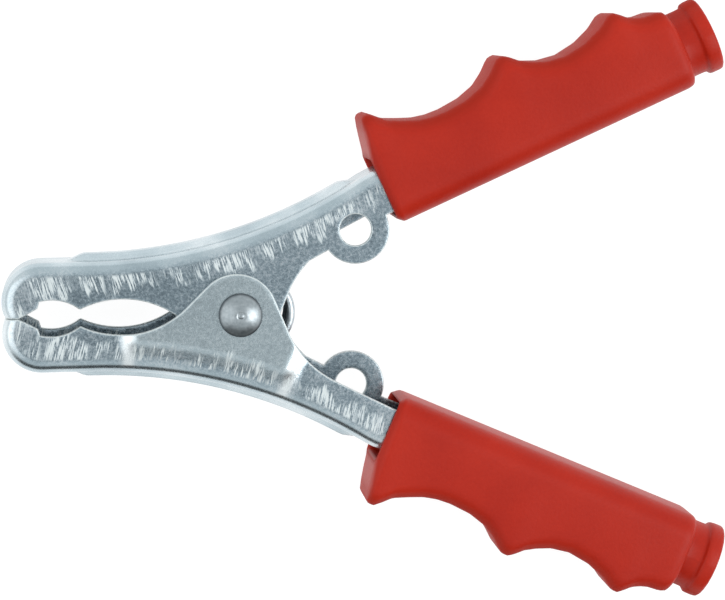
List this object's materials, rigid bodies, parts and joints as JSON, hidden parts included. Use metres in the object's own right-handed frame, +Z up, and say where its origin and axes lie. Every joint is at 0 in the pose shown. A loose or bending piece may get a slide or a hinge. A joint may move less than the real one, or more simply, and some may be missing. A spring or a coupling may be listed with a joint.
{
  "type": "battery lead clamp",
  "caption": "Spring clamp for a battery lead: two pressed steel jaws on a rivet, a torsion spring and two finger-shaped plastic grips.",
  "frame": {"origin": "middle of the clamp's outline, on the surface it lies on; the rivet's axis is parallel to Z, 28.8 mm towards the jaws", "axes": "+X from the jaws to the grips along the middle line, +Z up along the rivet, the upper arm on +Y"},
  "size_m": [0.1618, 0.1358, 0.0269],
  "materials": {
    "zinc_plate": "bright zinc plating, slightly rubbed",
    "rivet_steel": "smooth plated head",
    "spring_wire": "plated wire",
    "grip_plastic": "satin, fine moulded grain"
  },
  "bodies": {
    "lower_half": {"lower_arm": "zinc_plate", "pivot_rivet": "rivet_steel", "torsion_spring": "spring_wire", "lower_grip": "grip_plastic"},
    "upper_half": {"upper_arm": "zinc_plate", "upper_grip": "grip_plastic"}
  },
  "joints": [
    {"name": "jaw_pivot", "type": "hinge", "parent": "lower_half", "child": "upper_half", "pos_m": [-0.02884, 0, 0.01345], "axis": [0, 0, -1], "range_deg": [0, 45], "stiffness_Nm_per_rad": 0.48, "springref_deg": -89.95, "deforming": ["torsion_spring"]}
  ]
}
